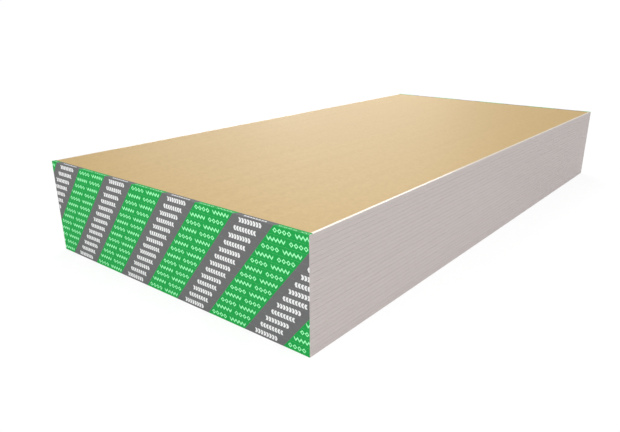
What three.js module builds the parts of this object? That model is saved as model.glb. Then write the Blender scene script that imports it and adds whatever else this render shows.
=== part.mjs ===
// A stack of plasterboard sheets, laid in face-to-face pairs. A printed paper tape is folded round
// each end of every pair: it holds the two sheets together and covers their cut ends.
//
// Millimetres. X runs across the sheets, Y along them and Z is up. The origin lies on the floor
// under the middle of the stack, and the front end faces -Y.

import * as THREE from "three";

// The sheet: a gypsum board whose face paper is folded round its two long edges and a little way
// over its back. The back's own paper, the liner, is glued on top and ends short of those edges.
const sheetWidth = 1200;
const sheetLength = 2400;
const sheetThickness = 13;
const paperFoldRadius = 0.4;
const paperFoldSteps = 4;
const linerRise = 0.1;
const linerSetback = 8;

// The stack.
const pairCount = 13;
const sheetGap = 0.02;
const pairGap = 0.02;

// The end tape: one strip of paper, folded into a channel with a web and two laps.
const tapeThickness = 0.08;
const tapeLap = 15;
const tapeSetback = 0.4;
const glueGap = 0.02;
const tapeFoldSteps = 3;

// What follows from the sizes above.
const pairHeight = 2 * sheetThickness + sheetGap;
const tapedHeight = pairHeight + 2 * (glueGap + tapeThickness);
const pairPitch = tapedHeight + pairGap;
const tapeLength = sheetWidth - 2 * tapeSetback;
const lowerSheetZ = tapeThickness + glueGap;
const upperSheetZ = lowerSheetZ + sheetThickness + sheetGap;
const quarterTurn = Math.PI / 2;

const paperedBoard = new THREE.MeshStandardMaterial({
  name: "paper-faced gypsum board",
  color: 0xd9bf92,
  roughness: 0.85,
  metalness: 0,
});

const printedTape = new THREE.MeshStandardMaterial({
  name: "printed paper tape",
  color: 0x2fa854,
  roughness: 0.6,
  metalness: 0,
});

// The sheet's section across its width, with its face down and its back up. The paper turns
// round each corner in a small arc, and the liner stands proud of the folded paper beside it.
function sheetSection() {
  const side = sheetWidth / 2;
  const fold = paperFoldRadius;
  const foldedBack = sheetThickness - linerRise;
  const linerSide = side - linerSetback;
  const section = new THREE.Shape();
  section.moveTo(fold - side, 0);
  section.absarc(side - fold, fold, fold, -quarterTurn, 0, false);
  section.absarc(side - fold, foldedBack - fold, fold, 0, quarterTurn, false);
  section.lineTo(linerSide, foldedBack);
  section.lineTo(linerSide, sheetThickness);
  section.lineTo(-linerSide, sheetThickness);
  section.lineTo(-linerSide, foldedBack);
  section.absarc(fold - side, foldedBack - fold, fold, quarterTurn, 2 * quarterTurn, false);
  section.absarc(fold - side, fold, fold, 2 * quarterTurn, 3 * quarterTurn, false);
  return section;
}

// The tape's section along the sheets, as a channel that opens towards +X of the drawing. Its
// web stands just off the cut ends at x = 0, and its laps lie on the outer papers of the pair.
// The outside of each fold is round, with the paper's own thickness as its radius.
function tapeSection() {
  const webInside = -glueGap;
  const lowerInside = tapeThickness;
  const upperInside = tapedHeight - tapeThickness;
  const section = new THREE.Shape();
  section.moveTo(tapeLap, 0);
  section.lineTo(tapeLap, lowerInside);
  section.lineTo(webInside, lowerInside);
  section.lineTo(webInside, upperInside);
  section.lineTo(tapeLap, upperInside);
  section.lineTo(tapeLap, tapedHeight);
  section.absarc(webInside, upperInside, tapeThickness, quarterTurn, 2 * quarterTurn, false);
  section.absarc(webInside, lowerInside, tapeThickness, 2 * quarterTurn, 3 * quarterTurn, false);
  return section;
}

const sheetShape = new THREE.ExtrudeGeometry(sheetSection(), {
  depth: sheetLength,
  steps: 1,
  curveSegments: paperFoldSteps,
  bevelEnabled: false,
});

const tapeShape = new THREE.ExtrudeGeometry(tapeSection(), {
  depth: tapeLength,
  steps: 1,
  curveSegments: tapeFoldSteps,
  bevelEnabled: false,
});
tapeShape.translate(0, 0, -tapeLength / 2);

// The section is stood up in X and Z and drawn out along Y. A sheet that lies on its back is
// then turned over about Y.
function makeSheet(name, bottomZ, backUp) {
  const sheet = new THREE.Mesh(sheetShape, paperedBoard);
  sheet.name = name;
  sheet.rotation.set(quarterTurn, backUp ? 0 : 2 * quarterTurn, 0, "YXZ");
  sheet.position.set(0, sheetLength / 2, backUp ? bottomZ : bottomZ + sheetThickness);
  return sheet;
}

// A tape is turned upright with its open side towards +Y, and then, for the back end, half a
// turn about Z.
function makeTape(name, endY, turn) {
  const tape = new THREE.Mesh(tapeShape, printedTape);
  tape.name = name;
  tape.rotation.set(quarterTurn, 0, quarterTurn, "ZYX");
  const holder = new THREE.Group();
  holder.rotation.z = turn;
  holder.position.y = endY;
  holder.add(tape);
  return holder;
}

// Two sheets face to face, the lower one on its back, and the tapes round their ends.
function makePair(index) {
  const number = String(index + 1).padStart(2, "0");
  const lowerNumber = String(2 * index + 1).padStart(2, "0");
  const upperNumber = String(2 * index + 2).padStart(2, "0");
  const pair = new THREE.Group();
  pair.position.z = index * pairPitch;
  pair.add(makeSheet(`drywall_sheet_${lowerNumber}`, lowerSheetZ, false));
  pair.add(makeSheet(`drywall_sheet_${upperNumber}`, upperSheetZ, true));
  pair.add(makeTape(`front_end_tape_${number}`, -sheetLength / 2, 0));
  pair.add(makeTape(`back_end_tape_${number}`, sheetLength / 2, 2 * quarterTurn));
  return pair;
}

const stack = new THREE.Group();
stack.name = "drywall_sheet_stack";
for (let index = 0; index < pairCount; index += 1) {
  stack.add(makePair(index));
}

export default stack;
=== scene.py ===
import math

import bpy
from mathutils import Matrix, Vector


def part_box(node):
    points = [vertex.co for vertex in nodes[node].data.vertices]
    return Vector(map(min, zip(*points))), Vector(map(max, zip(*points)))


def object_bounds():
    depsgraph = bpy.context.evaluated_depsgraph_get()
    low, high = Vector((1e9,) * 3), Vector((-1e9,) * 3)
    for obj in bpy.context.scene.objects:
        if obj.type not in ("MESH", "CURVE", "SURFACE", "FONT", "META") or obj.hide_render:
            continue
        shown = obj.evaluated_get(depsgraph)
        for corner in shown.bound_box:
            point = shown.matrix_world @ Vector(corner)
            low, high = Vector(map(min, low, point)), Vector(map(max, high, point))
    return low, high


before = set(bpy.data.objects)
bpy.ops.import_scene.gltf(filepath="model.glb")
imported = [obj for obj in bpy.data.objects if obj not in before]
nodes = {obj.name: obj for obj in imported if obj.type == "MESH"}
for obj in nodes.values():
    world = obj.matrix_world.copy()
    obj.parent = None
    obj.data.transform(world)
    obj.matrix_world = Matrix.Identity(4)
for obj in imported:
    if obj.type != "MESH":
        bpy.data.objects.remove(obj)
cadLow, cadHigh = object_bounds()    # the solids' own box, in metres
mm = 0.001                       # real sizes below are in millimetres


# An sRGB hex colour as the linear values that shaders take.
def linearColour(hexText):
    channels = [int(hexText[i:i + 2], 16) / 255 for i in (1, 3, 5)]
    return [c / 12.92 if c <= 0.04045 else ((c + 0.055) / 1.055) ** 2.4 for c in channels] + [1]


# Adds one shader node, sets its fields, and fills its inputs with values or with links. A node
# given as an input is linked by its first output that is in use.
def addNode(tree, kind, inputs=None, **settings):
    node = tree.nodes.new("ShaderNode" + kind)
    for name, value in settings.items():
        setattr(node, name, value)
    for name, value in (inputs or {}).items():
        if isinstance(value, bpy.types.Node):
            value = next(output for output in value.outputs if output.enabled)
        if isinstance(value, bpy.types.NodeSocket):
            tree.links.new(value, node.inputs[name])
        else:
            node.inputs[name].default_value = value
    return node


def newMaterial(name):
    material = bpy.data.materials.new(name)
    material.use_nodes = True
    material.node_tree.nodes.clear()
    return material, material.node_tree


# The view: from above the near right corner, along the stack's long side.
view = {
    "place": (1.4278, -2.1982, 0.8370),   # m
    "aim": (0.0878, -0.5064, 0.0250),     # m, a point on the line of sight
    "roll": 0.083,                        # degrees, right side up
    "focalLength": 33.692,                # mm
    "sensor": 36.0,                       # mm across
    "shift": (-0.01849, 0.02600),         # share of the render's width
}


def makeCamera():
    data = bpy.data.cameras.new("studioCamera")
    data.lens = view["focalLength"]
    data.sensor_width = view["sensor"]
    data.shift_x, data.shift_y = view["shift"]
    camera = bpy.data.objects.new("studioCamera", data)
    bpy.context.scene.collection.objects.link(camera)
    sight = Vector(view["aim"]) - Vector(view["place"])
    turn = sight.to_track_quat("-Z", "Y").to_matrix().to_4x4()
    roll = Matrix.Rotation(math.radians(view["roll"]), 4, "Z")
    camera.matrix_world = Matrix.Translation(view["place"]) @ turn @ roll
    bpy.context.scene.camera = camera


makeCamera()
print("camera set")

# The sheets: gypsum board with an ivory face paper, folded round the long edges, and a brown
# liner glued over the back. The liner is unbleached kraft made on a paper machine, so its fibres
# lie along the sheet, its stock is a little cloudy, and it is matt with a soft glow at low angles.
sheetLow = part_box("drywall_sheet_01")[0]
pairPitch = (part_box("drywall_sheet_03")[0].z - sheetLow.z) / mm
board = {
    "liner": ("#B29357", "#C1A267"),      # darker and lighter fibre
    "linerSpeck": "#8F6F3C",              # bark and shive left in the recycled stock
    "margin": "#CFC2AC",                  # face paper folded over the back, never handled
    "edge": ("#D8CECB", "#DED4D1"),       # face paper on the long edges, dusty and handled
    "cornerRubAndHighlight": "#FFFBF6",              # folded corners partly rubbed bright, partly a painted highlight
    "edgeDirtAndJointShade": "#8C8480",                   # dirt for the scuffs on the edges, and painted shade in the closed joints
    "core": "#F1EFEA",                    # gypsum
    "linerSetback": 8.0,                  # from the sheet's edge, where the margin shows
    "paperThickness": 0.3,
    "squareFacing": 0.9,                  # a flat back or cut end faces its axis at least so far
    "foldFacing": 0.3,                    # and a folded corner counts as edge from here on
    "cloudSize": 12.0,                    # formation of the stock
    "fibreSize": (0.5, 6.0),              # across and along, drawn at about twice the real width
    "fibreShare": 0.55,                   # of the tone, the rest comes from the clouds
    "feltSize": (35.0, 1500.0),           # across and along, faint marks of the drying felts
    "feltShare": 0.12,
    "stockRange": (0.35, 0.65),           # of its noise, from the darkest tone to the lightest
    "speckSpacing": 8.0,
    "speckSize": 0.45,
    "speckCore": 0.5,                     # of the size, with a soft rim round it
    "speckStretch": 2.0,                  # along the sheet
    "speckShare": 0.34,                   # of the cells hold a speck
    "speckDepth": 0.7,
    "hairSpacing": 5.0,                   # long dark fibres, curled at random
    "hairLength": 2.2,
    "hairWidth": 0.012,                   # of the noise's range, each side of its middle value
    "hairCore": 0.4,                      # of the width, with a soft rim beside it
    "hairBreaks": (0.56, 0.62),           # of the noise that leaves only short lengths
    "hairDepth": 0.6,
    "rubSize": (1.2, 260.0),              # up and along the edges, from sheets sliding past
    "batchShare": 0.4,                    # of an edge's tone, the sheet's own, the rest is rubbed
    "edgeStockShare": 0.4,                # of the tone after that, the paper's own
    "scuffSize": (2.4, 22.0),             # up and along, dirt from hands and slings
    "scuffRange": (0.6, 0.72),            # of its noise, from clean to full scuff
    "scuffShare": 0.12,
    "cornerHighlightWidth": 1.3,                     # how far down the edge the painted highlight on a corner reaches
    "topCornerHighlight": 1.0,                        # the strongest painted highlight, along the stack's top edge
    "backCornerHighlight": 0.2,                       # a weaker painted highlight on the corners beside the liners
    # painted shade where two faces meet
    "jointShadeWidth": 1.0,
    "jointShadeShare": 0.2,
    "poreSize": 0.9,                      # bubbles in the gypsum
    "poreReach": 0.5,                     # of the size, over which a bubble is shaded
    "poreShade": 0.86,
    "fibreRange": (0.3, 0.7),             # of the fibres' noise, for the liner's roughness
    "linerRoughness": (0.55, 0.65),
    "marginRoughness": 0.3,               # the face paper is calendered smooth
    "edgeRoughness": 0.55,                # the same paper, dulled by handling
    "reliefDepth": 0.06,
    "reliefStrength": 0.3,
    "gloss": 0.4,
    "ior": 1.5,                           # cellulose
}


# Tells the liner, the long edges and the cut ends apart. What is left is the folded margin.
def findZones(tree, axes, backUp):
    geometry = addNode(tree, "NewGeometry")
    facing = addNode(tree, "SeparateXYZ", {0: geometry.outputs["Normal"]})
    across = addNode(tree, "Math", {0: axes.outputs["X"]}, operation="ABSOLUTE")
    linerReach = cadHigh.x - board["linerSetback"] * mm
    insideLiner = addNode(tree, "Math", {0: across, 1: linerReach}, operation="LESS_THAN")
    backwards = addNode(tree, "Math", {0: facing.outputs["Z"], 1: 1 if backUp else -1},
                        operation="MULTIPLY")
    onBack = addNode(tree, "Math", {0: backwards, 1: board["squareFacing"]},
                     operation="GREATER_THAN")
    onLiner = addNode(tree, "Math", {0: insideLiner, 1: onBack}, operation="MULTIPLY")
    sideways = addNode(tree, "Math", {0: facing.outputs["X"]}, operation="ABSOLUTE")
    onEdge = addNode(tree, "Math", {0: sideways, 1: board["foldFacing"]},
                     operation="GREATER_THAN")
    lengthwise = addNode(tree, "Math", {0: facing.outputs["Y"]}, operation="ABSOLUTE")
    onCut = addNode(tree, "Math", {0: lengthwise, 1: board["squareFacing"]},
                    operation="GREATER_THAN")
    return onLiner, onEdge, onCut


# The paper's own structure: clouds, fibres along the sheet, and felt marks.
def makeStock(tree, place):
    cloud = addNode(tree, "TexNoise", {"Vector": place, "Scale": 1 / (board["cloudSize"] * mm),
                                       "Detail": 3.0, "Roughness": 0.55})
    fibreAcross, fibreAlong = (size * mm for size in board["fibreSize"])
    fibreSpace = addNode(tree, "VectorMath",
                         {0: place, 1: (1 / fibreAcross, 1 / fibreAlong, 1 / fibreAcross)},
                         operation="MULTIPLY")
    fibre = addNode(tree, "TexNoise", {"Vector": fibreSpace, "Scale": 1.0, "Detail": 2.0,
                                       "Distortion": 0.6})
    feltAcross, feltAlong = (size * mm for size in board["feltSize"])
    feltSpace = addNode(tree, "VectorMath", {0: place, 1: (1 / feltAcross, 1 / feltAlong, 0)},
                        operation="MULTIPLY")
    felt = addNode(tree, "TexNoise", {"Vector": feltSpace, "Scale": 1.0, "Detail": 1.0})
    cloudAndFibre = addNode(tree, "Mix", {0: board["fibreShare"], 2: cloud, 3: fibre})
    stock = addNode(tree, "Mix", {0: board["feltShare"], 2: cloudAndFibre, 3: felt})
    return fibre, stock


# The brown liner, with specks a little longer along the sheet, and long dark fibres that curl.
def colourLiner(tree, place, tone):
    dark, light = (linearColour(colour) for colour in board["liner"])
    clean = addNode(tree, "Mix", {0: tone, 6: dark, 7: light}, data_type="RGBA")
    speckSpace = addNode(tree, "VectorMath", {0: place, 1: (1, 1 / board["speckStretch"], 1)},
                         operation="MULTIPLY")
    speckCell = addNode(tree, "TexVoronoi",
                        {"Vector": speckSpace, "Scale": 1 / (board["speckSpacing"] * mm)})
    speckReach = board["speckSize"] / board["speckSpacing"]
    nearSpeck = addNode(tree, "MapRange",
                        {"Value": speckCell.outputs["Distance"],
                         "From Min": speckReach * board["speckCore"], "From Max": speckReach,
                         "To Min": board["speckDepth"], "To Max": 0.0})
    speckDraw = addNode(tree, "SeparateColor", {0: speckCell.outputs["Color"]})
    speckThere = addNode(tree, "Math", {0: speckDraw, 1: board["speckShare"]},
                         operation="LESS_THAN")
    speck = addNode(tree, "Math", {0: nearSpeck, 1: speckThere}, operation="MULTIPLY")

    # A curled fibre follows the line where a smooth noise passes its middle value.
    curl = addNode(tree, "TexNoise", {"Vector": place, "Scale": 1 / (board["hairSpacing"] * mm),
                                      "Detail": 0.0})
    offCurl = addNode(tree, "Math", {0: curl, 1: 0.5}, operation="SUBTRACT")
    offCurl = addNode(tree, "Math", {0: offCurl}, operation="ABSOLUTE")
    onCurl = addNode(tree, "MapRange",
                     {"Value": offCurl, "From Min": board["hairWidth"] * board["hairCore"],
                      "From Max": board["hairWidth"],
                      "To Min": board["hairDepth"], "To Max": 0.0})
    breaks = addNode(tree, "TexNoise", {"Vector": place, "Scale": 1 / (board["hairLength"] * mm),
                                        "Detail": 0.0})
    breakLow, breakHigh = board["hairBreaks"]
    hairThere = addNode(tree, "MapRange", {"Value": breaks, "From Min": breakLow,
                                           "From Max": breakHigh})
    hair = addNode(tree, "Math", {0: onCurl, 1: hairThere}, operation="MULTIPLY")
    spotted = addNode(tree, "Math", {0: speck, 1: hair}, operation="MAXIMUM")
    return addNode(tree, "Mix", {0: spotted, 6: clean, 7: linearColour(board["linerSpeck"])},
                   data_type="RGBA")


# The long edges: a tone of its own for each sheet, rub marks along it, scuffs, folded corners
# rubbed and given a painted highlight, most along the top, and painted shade where faces meet.
def colourEdge(tree, place, axes, tone, onEdge, fromBack, fromFace):
    sheetNumber = addNode(tree, "Math", {0: axes.outputs["Z"], 1: 2 / (pairPitch * mm)},
                          operation="MULTIPLY")
    sheetNumber = addNode(tree, "Math", {0: sheetNumber}, operation="FLOOR")
    batch = addNode(tree, "TexWhiteNoise", {"W": sheetNumber}, noise_dimensions="1D")
    rubUp, rubAlong = (size * mm for size in board["rubSize"])
    rubSpace = addNode(tree, "VectorMath", {0: place, 1: (1 / rubUp, 1 / rubAlong, 1 / rubUp)},
                       operation="MULTIPLY")
    rub = addNode(tree, "TexNoise", {"Vector": rubSpace, "Scale": 1.0, "Detail": 3.0})
    edgeTone = addNode(tree, "Mix", {0: board["batchShare"], 2: rub, 3: batch.outputs["Value"]})
    edgeTone = addNode(tree, "Mix", {0: board["edgeStockShare"], 2: edgeTone, 3: tone})
    dark, light = (linearColour(colour) for colour in board["edge"])
    colour = addNode(tree, "Mix", {0: edgeTone, 6: dark, 7: light}, data_type="RGBA")

    scuffUp, scuffAlong = (size * mm for size in board["scuffSize"])
    scuffSpace = addNode(tree, "VectorMath",
                         {0: place, 1: (1 / scuffUp, 1 / scuffAlong, 1 / scuffUp)},
                         operation="MULTIPLY")
    scuff = addNode(tree, "TexNoise", {"Vector": scuffSpace, "Scale": 1.0, "Detail": 4.0,
                                       "Roughness": 0.6})
    scuffLow, scuffHigh = board["scuffRange"]
    scuffed = addNode(tree, "MapRange", {"Value": scuff, "From Min": scuffLow,
                                         "From Max": scuffHigh, "To Max": board["scuffShare"]})
    scuffDirtAndShade = linearColour(board["edgeDirtAndJointShade"])
    colour = addNode(tree, "Mix", {0: scuffed, 6: colour, 7: scuffDirtAndShade}, data_type="RGBA")

    # A painted highlight on the folded corners, partly rubbing, strongest along the stack's top.
    backCornerLight = addNode(tree, "MapRange",
                       {"Value": fromBack, "From Max": board["cornerHighlightWidth"] * mm,
                        "To Min": board["backCornerHighlight"], "To Max": 0.0})
    fromTop = addNode(tree, "Math", {0: cadHigh.z, 1: axes.outputs["Z"]}, operation="SUBTRACT")
    topCornerLight = addNode(tree, "MapRange",
                      {"Value": fromTop, "From Max": board["cornerHighlightWidth"] * mm,
                       "To Min": board["topCornerHighlight"], "To Max": 0.0})
    fold = addNode(tree, "Math", {0: backCornerLight, 1: topCornerLight}, operation="MAXIMUM")
    fold = addNode(tree, "Math", {0: fold, 1: onEdge}, operation="MULTIPLY")
    colour = addNode(tree, "Mix", {0: fold, 6: colour, 7: linearColour(board["cornerRubAndHighlight"])},
                     data_type="RGBA")
    # Painted shade where two faces meet, in the colour of the scuffs' dirt.
    edgeDirtAndJointShade = addNode(tree, "MapRange",
                    {"Value": fromFace, "From Max": board["jointShadeWidth"] * mm,
                     "To Min": board["jointShadeShare"], "To Max": 0.0})
    return addNode(tree, "Mix", {0: edgeDirtAndJointShade, 6: colour, 7: scuffDirtAndShade}, data_type="RGBA")


# The cut ends: white gypsum with fine bubbles, between the brown lines of the two papers.
def colourCutEnd(tree, pore, fromBack, fromFace, linerColour):
    poreShade = addNode(tree, "MapRange",
                        {"Value": pore.outputs["Distance"], "From Max": board["poreReach"],
                         "To Min": board["poreShade"], "To Max": 1.0})
    core = addNode(tree, "HueSaturation", {"Value": poreShade,
                                           "Color": linearColour(board["core"])})
    fromJoint = addNode(tree, "Math", {0: fromBack, 1: fromFace}, operation="MINIMUM")
    paperLine = addNode(tree, "Math", {0: fromJoint, 1: board["paperThickness"] * mm},
                        operation="LESS_THAN")
    return addNode(tree, "Mix", {0: paperLine, 6: core, 7: linerColour}, data_type="RGBA")


def makeBoardMaterial(name, backUp):
    material, tree = newMaterial(name)
    place = addNode(tree, "TexCoord").outputs["Object"]
    axes = addNode(tree, "SeparateXYZ", {0: place})
    onLiner, onEdge, onCut = findZones(tree, axes, backUp)
    fibre, stock = makeStock(tree, place)
    stockLow, stockHigh = board["stockRange"]
    tone = addNode(tree, "MapRange", {"Value": stock, "From Min": stockLow,
                                      "From Max": stockHigh})

    # Backs and faces meet in turn up the stack, one sheet apart.
    fromBack = addNode(tree, "Math", {0: axes.outputs["Z"], 1: pairPitch / 2 * mm},
                       operation="PINGPONG")
    fromFace = addNode(tree, "Math", {0: pairPitch / 2 * mm, 1: fromBack}, operation="SUBTRACT")

    linerColour = colourLiner(tree, place, tone)
    edgeColour = colourEdge(tree, place, axes, tone, onEdge, fromBack, fromFace)
    facePaper = addNode(tree, "Mix", {0: onEdge, 6: linearColour(board["margin"]), 7: edgeColour},
                        data_type="RGBA")
    papers = addNode(tree, "Mix", {0: onLiner, 6: facePaper, 7: linerColour}, data_type="RGBA")
    pore = addNode(tree, "TexVoronoi", {"Vector": place, "Scale": 1 / (board["poreSize"] * mm)})
    cutEnd = colourCutEnd(tree, pore, fromBack, fromFace, linerColour)
    surface = addNode(tree, "Mix", {0: onCut, 6: papers, 7: cutEnd}, data_type="RGBA")

    fibreLow, fibreHigh = board["fibreRange"]
    smooth, rough = board["linerRoughness"]
    linerRough = addNode(tree, "MapRange", {"Value": fibre, "From Min": fibreLow,
                                            "From Max": fibreHigh,
                                            "To Min": smooth, "To Max": rough})
    faceRough = addNode(tree, "Mix", {0: onEdge, 2: board["marginRoughness"],
                                      3: board["edgeRoughness"]})
    roughness = addNode(tree, "Mix", {0: onLiner, 2: faceRough, 3: linerRough})
    relief = addNode(tree, "Mix", {0: onCut, 2: stock, 3: pore.outputs["Distance"]})
    bump = addNode(tree, "Bump", {"Height": relief, "Strength": board["reliefStrength"],
                                  "Distance": board["reliefDepth"] * mm})
    shader = addNode(tree, "BsdfPrincipled",
                     {"Base Color": surface, "Roughness": roughness, "Normal": bump,
                      "IOR": board["ior"], "Specular IOR Level": board["gloss"]})
    addNode(tree, "OutputMaterial", {"Surface": shader})
    return material


# The end tapes: white machine-glazed paper, printed in two flat inks by rubber plates and glued
# on by machine. The print shows as even, slightly mottled colour with a low gloss, and it has
# worn thin along the folds. Bands of green and grey lean across all the tapes as one pattern.
tapeLow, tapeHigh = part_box("front_end_tape_01")
tapeHeight = (tapeHigh.z - tapeLow.z) / mm
tape = {
    "paper": "#F0F0F0",
    "green": "#1FA54C",
    "grey": "#6F6F70",
    "tint": "#A2FFBC",          # a thin film of the green, used for the marks on it
    "bandPeriod": 300.0,        # along the tape, one green and one grey band
    "greenWidth": 152.4,
    "greenStart": 183.6,        # from the end's left side, at the top of the stack
    "lean": 0.81,               # sideways for each millimetre down
    "markHeight": 14.0,
    "chevronPitch": 10.5,
    "chevronStroke": 7.4,
    "chevronSlope": 0.5,
    "chevronCount": 8,
    "groupGap": 12.0,           # between the two groups of marks on green
    "diamondPitch": 16.0,
    "diamondReach": 5.6,        # from a diamond's middle to the middle of its line
    "diamondLine": 3.9,
    "diamondCount": 4,
    "wavePitch": 12.8,
    "waveHeight": 4.4,
    "waveLine": 3.1,
    "waveCount": 5,
    "lapRow": 5.6,              # from the fold to the middle of the row on each lap
    "lapMarkHeight": 5.6,
    "lapShade": 0.9,             # painted shade on the laps, against the stronger light on top
    "mottleSize": 3.5,
    "mottleRange": (0.3, 0.7),  # of its noise, for the two that follow
    "inkDensity": (0.95, 1.05),
    "roughness": (0.65, 0.75),
    "grainSize": 0.7,           # drawn at about twice the real grain
    "wornFold": 0.25,           # how far from a fold the ink is worn
    "wornGrain": (0.45, 0.6),   # of the grain's noise, from whole ink to broken
    "wornShare": 0.6,
    "ripple": (90.0, 14.0),     # along and across, where the paper shrank as its glue dried
    "rippleDepth": 0.5,
    "grainDepth": 0.02,         # this and the next one are shares of the ripples' depth
    "jointDepth": 0.25,
    "jointWidth": 0.7,
    "reliefStrength": 0.5,
    "gloss": 0.12,
    "ior": 1.5,                 # cellulose
}


# Places on the paper in millimetres: along the tape, up the stack, into the stack, and up the
# tape as if its laps were folded open.
def unfoldTape(tree, place, lapSide, front):
    turn = 1 if front else -1
    axes = addNode(tree, "SeparateXYZ", {0: place})
    along = addNode(tree, "Math", {0: axes.outputs["X"], 1: turn / mm, 2: cadHigh.x / mm},
                    operation="MULTIPLY_ADD")
    height = addNode(tree, "Math", {0: axes.outputs["Z"], 1: 1 / mm}, operation="MULTIPLY")
    inward = addNode(tree, "Math", {0: axes.outputs["Y"], 1: turn / mm, 2: cadHigh.y / mm},
                     operation="MULTIPLY_ADD")
    fold = addNode(tree, "Math", {0: inward, 1: lapSide}, operation="MULTIPLY")
    unfolded = addNode(tree, "Math", {0: height, 1: fold}, operation="ADD")
    return along, height, inward, unfolded


# The leaning green bands. All that they leave is grey.
def findGreen(tree, along, unfolded):
    down = addNode(tree, "Math", {0: cadHigh.z / mm, 1: unfolded}, operation="SUBTRACT")
    leaning = addNode(tree, "Math", {0: down, 1: tape["lean"], 2: along}, operation="MULTIPLY_ADD")
    inBand = addNode(tree, "Math", {0: leaning, 1: tape["greenStart"] + tape["bandPeriod"],
                                    2: tape["greenStart"]}, operation="WRAP")
    return addNode(tree, "Math", {0: inBand, 1: tape["greenStart"] + tape["greenWidth"]},
                   operation="LESS_THAN")


# The middle of a tape's row of marks, where a place lies from it, and on which side of a band's
# middle the marks begin. One row lies along the middle of each tape, a lower one along each lap.
def findRow(tree, along, height, unfolded, lapSide, onLap):
    rowStep = addNode(tree, "Math", {0: height, 1: pairPitch}, operation="DIVIDE")
    row = addNode(tree, "Math", {0: rowStep}, operation="FLOOR")
    middle = addNode(tree, "Math", {0: row, 1: pairPitch, 2: tapeHeight / 2},
                     operation="MULTIPLY_ADD")
    lapMiddle = tapeHeight / 2 + tape["lapRow"]
    rowMiddle = addNode(tree, "Math", {0: lapSide, 1: lapMiddle, 2: middle},
                        operation="MULTIPLY_ADD")
    stretch = addNode(tree, "Math",
                      {0: onLap, 1: tape["markHeight"] / tape["lapMarkHeight"] - 1, 2: 1.0},
                      operation="MULTIPLY_ADD")
    rise = addNode(tree, "Math", {0: unfolded, 1: rowMiddle}, operation="SUBTRACT")
    rise = addNode(tree, "Math", {0: rise, 1: stretch}, operation="MULTIPLY")
    rowDown = addNode(tree, "Math", {0: cadHigh.z / mm, 1: rowMiddle}, operation="SUBTRACT")
    rowAlong = addNode(tree, "Math", {0: rowDown, 1: tape["lean"], 2: along},
                       operation="MULTIPLY_ADD")
    oddRow = addNode(tree, "Math", {0: row, 1: 2.0}, operation="FLOORED_MODULO")
    flip = addNode(tree, "Math", {0: oddRow, 1: -2.0, 2: 1.0}, operation="MULTIPLY_ADD")
    return middle, rise, rowAlong, flip


# How far along the row a place is from the middle of its band, turned on every second tape.
def measureFrom(tree, bandMiddle, rowAlong, flip):
    halfPeriod = tape["bandPeriod"] / 2
    away = addNode(tree, "Math", {0: rowAlong, 1: bandMiddle}, operation="SUBTRACT")
    away = addNode(tree, "Math", {0: away, 1: halfPeriod, 2: -halfPeriod}, operation="WRAP")
    return addNode(tree, "Math", {0: away, 1: flip}, operation="MULTIPLY")


# Chevrons on the grey, all of them whole.
def drawChevrons(tree, fromGrey, offRow):
    arrow = addNode(tree, "Math", {0: offRow, 1: tape["chevronSlope"], 2: fromGrey},
                    operation="MULTIPLY_ADD")
    chevronGap = tape["chevronPitch"] - tape["chevronStroke"]
    chevronDepth = tape["chevronSlope"] * tape["markHeight"] / 2
    arrow = addNode(tree, "Math", {0: arrow, 1: (chevronGap + chevronDepth) / 2},
                    operation="SUBTRACT")
    inArrow = addNode(tree, "Math", {0: arrow, 1: tape["chevronPitch"], 2: 0.0}, operation="WRAP")
    chevron = addNode(tree, "Math", {0: inArrow, 1: tape["chevronStroke"]}, operation="LESS_THAN")
    offArrows = addNode(tree, "Math", {0: arrow}, operation="ABSOLUTE")
    arrowsReach = tape["chevronCount"] * tape["chevronPitch"] / 2
    inArrows = addNode(tree, "Math", {0: offArrows, 1: arrowsReach}, operation="LESS_THAN")
    return addNode(tree, "Math", {0: chevron, 1: inArrows}, operation="MULTIPLY")


# Open diamonds on one half of the green.
def drawDiamonds(tree, fromGreen, offRow):
    diamondsReach = tape["diamondCount"] * tape["diamondPitch"] / 2
    fromDiamonds = addNode(tree, "Math", {0: fromGreen, 1: tape["groupGap"] / 2 + diamondsReach},
                           operation="ADD")
    inCell = addNode(tree, "Math", {0: fromDiamonds, 1: tape["diamondPitch"], 2: 0.0},
                     operation="WRAP")
    inCell = addNode(tree, "Math", {0: inCell, 1: tape["diamondPitch"] / 2}, operation="SUBTRACT")
    inCell = addNode(tree, "Math", {0: inCell}, operation="ABSOLUTE")
    offCell = addNode(tree, "Math", {0: inCell, 1: offRow}, operation="ADD")
    offLine = addNode(tree, "Math", {0: offCell, 1: tape["diamondReach"]}, operation="SUBTRACT")
    offLine = addNode(tree, "Math", {0: offLine}, operation="ABSOLUTE")
    diamond = addNode(tree, "Math", {0: offLine, 1: tape["diamondLine"] / 2},
                      operation="LESS_THAN")
    offDiamonds = addNode(tree, "Math", {0: fromDiamonds}, operation="ABSOLUTE")
    inDiamonds = addNode(tree, "Math", {0: offDiamonds, 1: diamondsReach}, operation="LESS_THAN")
    return addNode(tree, "Math", {0: diamond, 1: inDiamonds}, operation="MULTIPLY")


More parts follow.
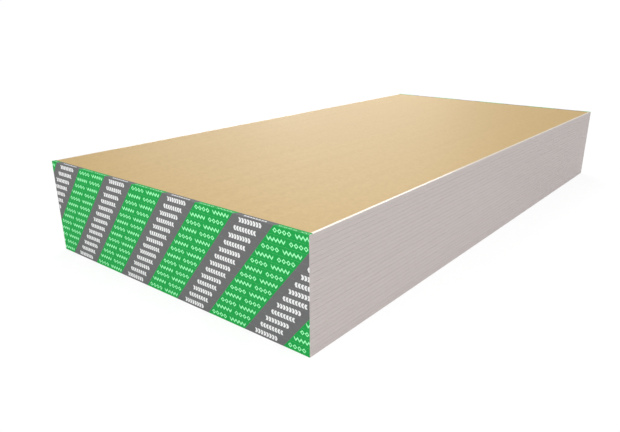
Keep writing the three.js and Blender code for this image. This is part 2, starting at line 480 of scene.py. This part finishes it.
# A zigzag line on the other half.
def drawZigzag(tree, fromGreen, rise):
    waveReach = tape["waveCount"] * tape["wavePitch"] / 2
    fromWave = addNode(tree, "Math", {0: fromGreen, 1: tape["groupGap"] / 2 + waveReach},
                       operation="SUBTRACT")
    wave = addNode(tree, "Math", {0: fromWave, 1: tape["wavePitch"] / 2}, operation="PINGPONG")
    wave = addNode(tree, "Math", {0: wave, 1: 4 * tape["waveHeight"] / tape["wavePitch"],
                                  2: -tape["waveHeight"]}, operation="MULTIPLY_ADD")
    offWave = addNode(tree, "Math", {0: rise, 1: wave}, operation="SUBTRACT")
    offWave = addNode(tree, "Math", {0: offWave}, operation="ABSOLUTE")
    line = addNode(tree, "Math", {0: offWave, 1: tape["waveLine"]}, operation="LESS_THAN")
    offZigzag = addNode(tree, "Math", {0: fromWave}, operation="ABSOLUTE")
    inZigzag = addNode(tree, "Math", {0: offZigzag, 1: waveReach}, operation="LESS_THAN")
    return addNode(tree, "Math", {0: line, 1: inZigzag}, operation="MULTIPLY")


# All the marks together, kept within the height of their row.
def drawMarks(tree, rise, rowAlong, flip):
    offRow = addNode(tree, "Math", {0: rise}, operation="ABSOLUTE")
    greyMiddle = tape["greenStart"] + (tape["greenWidth"] + tape["bandPeriod"]) / 2
    greenMiddle = tape["greenStart"] + tape["greenWidth"] / 2
    fromGrey = measureFrom(tree, greyMiddle, rowAlong, flip)
    fromGreen = measureFrom(tree, greenMiddle, rowAlong, flip)
    greenMarks = addNode(tree, "Math", {0: drawDiamonds(tree, fromGreen, offRow),
                                        1: drawZigzag(tree, fromGreen, rise)},
                         operation="MAXIMUM")
    marks = addNode(tree, "Math", {0: drawChevrons(tree, fromGrey, offRow), 1: greenMarks},
                    operation="MAXIMUM")
    inRow = addNode(tree, "Math", {0: offRow, 1: tape["markHeight"] / 2}, operation="LESS_THAN")
    return addNode(tree, "Math", {0: marks, 1: inRow}, operation="MULTIPLY")


# Two flat inks with a faint mottle, and painted shade on the laps.
def colourPrint(tree, mottle, onGreen, marks, onLap):
    ink = addNode(tree, "Mix", {0: onGreen, 6: linearColour(tape["grey"]),
                                7: linearColour(tape["green"])}, data_type="RGBA")
    mottleLow, mottleHigh = tape["mottleRange"]
    thin, thick = tape["inkDensity"]
    density = addNode(tree, "MapRange", {"Value": mottle, "From Min": mottleLow,
                                         "From Max": mottleHigh,
                                         "To Min": thin, "To Max": thick})
    ink = addNode(tree, "HueSaturation", {"Value": density, "Color": ink})
    lightMark = addNode(tree, "Mix", {0: onGreen, 6: linearColour(tape["paper"]),
                                      7: linearColour(tape["tint"])}, data_type="RGBA")
    printed = addNode(tree, "Mix", {0: marks, 6: ink, 7: lightMark}, data_type="RGBA")
    # Painted shade on the laps.
    lapShading = addNode(tree, "Math", {0: onLap, 1: tape["lapShade"] - 1, 2: 1.0},
                   operation="MULTIPLY_ADD")
    return addNode(tree, "HueSaturation", {"Value": lapShading, "Color": printed})


# Along the folds the ink is worn and broken.
def wearFolds(tree, printed, grain, offMiddle, inward):
    toFold = addNode(tree, "Math", {0: tapeHeight / 2, 1: offMiddle}, operation="SUBTRACT")
    toFold = addNode(tree, "Math", {0: toFold, 1: inward}, operation="ADD")
    worn = addNode(tree, "MapRange", {"Value": toFold, "From Max": tape["wornFold"],
                                      "To Min": 1.0, "To Max": 0.0})
    whole, gone = tape["wornGrain"]
    broken = addNode(tree, "MapRange", {"Value": grain, "From Min": whole, "From Max": gone,
                                        "To Max": tape["wornShare"]})
    worn = addNode(tree, "Math", {0: worn, 1: broken}, operation="MULTIPLY")
    return addNode(tree, "Mix", {0: worn, 6: printed, 7: linearColour(tape["paper"])},
                   data_type="RGBA")


# Relief: paper grain, ripples along the tape, and the joint of the two sheets behind it.
def raiseTape(tree, place, grain, offMiddle):
    rippleAlong, rippleAcross = (size * mm for size in tape["ripple"])
    rippleSpace = addNode(tree, "VectorMath",
                          {0: place, 1: (1 / rippleAlong, 1 / rippleAcross, 1 / rippleAcross)},
                          operation="MULTIPLY")
    ripple = addNode(tree, "TexNoise", {"Vector": rippleSpace, "Scale": 1.0, "Detail": 1.0})
    joint = addNode(tree, "MapRange", {"Value": offMiddle, "From Max": tape["jointWidth"]})
    relief = addNode(tree, "Math", {0: grain, 1: tape["grainDepth"], 2: ripple},
                     operation="MULTIPLY_ADD")
    relief = addNode(tree, "Math", {0: joint, 1: tape["jointDepth"], 2: relief},
                     operation="MULTIPLY_ADD")
    return addNode(tree, "Bump", {"Height": relief, "Strength": tape["reliefStrength"],
                                  "Distance": tape["rippleDepth"] * mm})


def makeTapeMaterial(name, front):
    material, tree = newMaterial(name)
    place = addNode(tree, "TexCoord").outputs["Object"]
    geometry = addNode(tree, "NewGeometry")
    facing = addNode(tree, "SeparateXYZ", {0: geometry.outputs["Normal"]})
    lapSide = facing.outputs["Z"]           # 1 on an upper lap, -1 on a lower one, 0 on the web
    onLap = addNode(tree, "Math", {0: lapSide}, operation="ABSOLUTE")
    along, height, inward, unfolded = unfoldTape(tree, place, lapSide, front)
    onGreen = findGreen(tree, along, unfolded)
    middle, rise, rowAlong, flip = findRow(tree, along, height, unfolded, lapSide, onLap)
    marks = drawMarks(tree, rise, rowAlong, flip)

    mottle = addNode(tree, "TexNoise", {"Vector": place, "Scale": 1 / (tape["mottleSize"] * mm),
                                        "Detail": 4.0, "Roughness": 0.65})
    grain = addNode(tree, "TexNoise", {"Vector": place, "Scale": 1 / (tape["grainSize"] * mm),
                                       "Detail": 2.0})
    offMiddle = addNode(tree, "Math", {0: height, 1: middle}, operation="SUBTRACT")
    offMiddle = addNode(tree, "Math", {0: offMiddle}, operation="ABSOLUTE")
    printed = colourPrint(tree, mottle, onGreen, marks, onLap)
    printed = wearFolds(tree, printed, grain, offMiddle, inward)
    mottleLow, mottleHigh = tape["mottleRange"]
    smooth, rough = tape["roughness"]
    roughness = addNode(tree, "MapRange", {"Value": mottle, "From Min": mottleLow,
                                           "From Max": mottleHigh,
                                           "To Min": smooth, "To Max": rough})
    shader = addNode(tree, "BsdfPrincipled",
                     {"Base Color": printed, "Roughness": roughness,
                      "Normal": raiseTape(tree, place, grain, offMiddle),
                      "IOR": tape["ior"], "Specular IOR Level": tape["gloss"]})
    addNode(tree, "OutputMaterial", {"Surface": shader})
    return material


finishes = {
    "backUp": makeBoardMaterial("kraftLinedGypsumBackUp", True),
    "backDown": makeBoardMaterial("kraftLinedGypsumBackDown", False),
    "frontTape": makeTapeMaterial("flexoPrintedPaperFront", True),
    "backTape": makeTapeMaterial("flexoPrintedPaperBack", False),
}


# The sheets lie in pairs, face to face, so each even one has its back up.
def finishFor(name):
    if name.startswith("front_end_tape"):
        return finishes["frontTape"]
    if name.startswith("back_end_tape"):
        return finishes["backTape"]
    evenSheet = int(name.rsplit("_", 1)[1]) % 2 == 0
    return finishes["backUp" if evenSheet else "backDown"]


for name, piece in nodes.items():
    for holder in piece.material_slots:
        holder.material = finishFor(name)
print("papers and tapes finished")

# The studio: a white floor that runs out to the horizon, white all round, and softboxes.
studio = {
    "floorSize": 80.0,            # m
    "floor": "#E8E8E8",           # as it lights the object
    "shadowShare": 0.2,           # how strongly it shows the shadow, where it is seen
    "glow": 0.82,                 # what lifts it to white there
    "fadeEnd": 0.35,              # m from the stack's foot, where the shadow has faded out
    "backdrop": 1.02,             # just over white, so that it shows as even white
    "ambient": 0.5,               # how strongly the surroundings light the object
    "boxSize": 2.0,               # m
    "boxDistance": 4.0,           # m, from the middle of the stack
    "aim": (0.0, 0.0, 0.25),      # m
    # azimuth from the back end towards the right and elevation in degrees, power in watts
    "boxes": {
        "rightHigh": (132, 60, 60),
        "frontLow": (180, 15, 32),
        "leftLow": (-60, 15, 27),
        "backLeftMiddle": (-35, 35, 48),
        "backLeftLow": (-35, 15, 12),
    },
}


# The rays that see the white studio: the camera's, and those that show it in gloss or glass. All
# other rays carry the softer light that falls on the object.
def findSeeingRays(tree):
    rays = addNode(tree, "LightPath")
    seeing = addNode(tree, "Math", {0: rays.outputs["Is Camera Ray"],
                                    1: rays.outputs["Is Glossy Ray"]}, operation="MAXIMUM")
    return addNode(tree, "Math", {0: seeing, 1: rays.outputs["Is Transmission Ray"]},
                   operation="MAXIMUM")


# A plain pale floor, which is seen lifted to white, with the stack's shadow near its foot.
def makeFloor():
    half = studio["floorSize"] / 2
    mesh = bpy.data.meshes.new("studioFloor")
    mesh.from_pydata([(-half, -half, 0), (half, -half, 0), (half, half, 0), (-half, half, 0)],
                     [], [(0, 1, 2, 3)])
    floor = bpy.data.objects.new("studioFloor", mesh)
    bpy.context.scene.collection.objects.link(floor)
    material, tree = newMaterial("whitePaperFloor")
    lit = addNode(tree, "BsdfDiffuse", {"Color": linearColour(studio["floor"])})
    share = studio["shadowShare"]
    shaded = addNode(tree, "BsdfDiffuse", {"Color": (share, share, share, 1)})
    glow = addNode(tree, "Emission", {"Color": (1, 1, 1, 1), "Strength": studio["glow"]})
    near = addNode(tree, "AddShader", {0: shaded, 1: glow})
    fromAxes = addNode(tree, "VectorMath", {0: addNode(tree, "TexCoord").outputs["Object"]},
                       operation="ABSOLUTE")
    pastFoot = addNode(tree, "VectorMath", {0: fromAxes, 1: (cadHigh.x, cadHigh.y, 0)},
                       operation="SUBTRACT")
    pastFoot = addNode(tree, "VectorMath", {0: pastFoot, 1: (0, 0, 0)}, operation="MAXIMUM")
    away = addNode(tree, "VectorMath", {0: pastFoot}, operation="LENGTH")
    fade = addNode(tree, "MapRange", {"Value": away, "From Max": studio["fadeEnd"]},
                   interpolation_type="SMOOTHSTEP")
    white = addNode(tree, "Emission", {"Color": (1, 1, 1, 1), "Strength": studio["backdrop"]})
    seen = addNode(tree, "MixShader", {0: fade, 1: near, 2: white})
    surface = addNode(tree, "MixShader", {0: findSeeingRays(tree), 1: lit, 2: seen})
    addNode(tree, "OutputMaterial", {"Surface": surface})
    mesh.materials.append(material)


# The surroundings: seen as even white, with a softer light for the object.
def makeSurroundings():
    world = bpy.data.worlds.new("studioSurroundings")
    bpy.context.scene.world = world
    world.use_nodes = True
    tree = world.node_tree
    tree.nodes.clear()
    soft = addNode(tree, "Background", {"Color": (1, 1, 1, 1), "Strength": studio["ambient"]})
    white = addNode(tree, "Background", {"Color": (1, 1, 1, 1), "Strength": studio["backdrop"]})
    both = addNode(tree, "MixShader", {0: findSeeingRays(tree), 1: soft, 2: white})
    addNode(tree, "OutputWorld", {"Surface": both})


def makeSoftbox(name, azimuth, elevation, power):
    data = bpy.data.lights.new(name, "AREA")
    data.shape = "SQUARE"
    data.size = studio["boxSize"]
    data.energy = power
    box = bpy.data.objects.new(name, data)
    bpy.context.scene.collection.objects.link(box)
    level = math.cos(math.radians(elevation))
    outward = Vector((level * math.sin(math.radians(azimuth)),
                      level * math.cos(math.radians(azimuth)),
                      math.sin(math.radians(elevation))))
    place = Vector(studio["aim"]) + studio["boxDistance"] * outward
    turn = (-outward).to_track_quat("-Z", "Y").to_matrix().to_4x4()
    box.matrix_world = Matrix.Translation(place) @ turn
    box.visible_camera = False


makeFloor()
makeSurroundings()
for name, (azimuth, elevation, power) in studio["boxes"].items():
    makeSoftbox(name, azimuth, elevation, power)
bpy.context.scene.view_settings.view_transform = "Standard"
print("studio lit")
